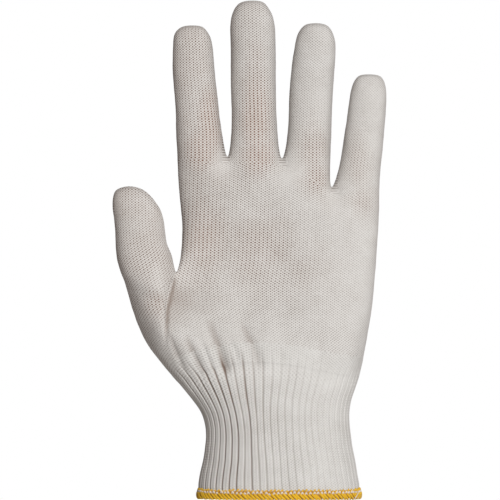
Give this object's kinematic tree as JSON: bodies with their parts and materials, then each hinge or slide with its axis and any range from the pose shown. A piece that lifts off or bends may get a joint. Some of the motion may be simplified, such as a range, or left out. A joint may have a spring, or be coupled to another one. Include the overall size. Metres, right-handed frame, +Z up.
{
  "type": "knit glove",
  "caption": "Seamless white knit work glove in worn shape, with separate fingers and thumb, a ribbed elastic cuff and a yellow overlocked hem",
  "frame": {"origin": "middle of the cuff mouth, level with the hem's lower edge", "axes": "+Z up along the fingers, +X towards the little finger, -Y out of the palm side"},
  "size_m": [0.1271, 0.053, 0.2322],
  "materials": {
    "index_finger": "matt white polyester knit",
    "middle_finger": "matt white polyester knit",
    "ring_finger": "matt white polyester knit",
    "little_finger": "matt white polyester knit",
    "thumb": "matt white polyester knit",
    "palm": "matt white polyester knit",
    "rib_cuff": "matt white elastic rib knit",
    "overlock_hem": "yellow overlock thread"
  },
  "bodies": {
    "root": {"index_finger": "index_finger", "middle_finger": "middle_finger", "ring_finger": "ring_finger", "little_finger": "little_finger", "thumb": "thumb", "palm": "palm", "rib_cuff": "rib_cuff", "overlock_hem": "overlock_hem"}
  },
  "joints": []
}
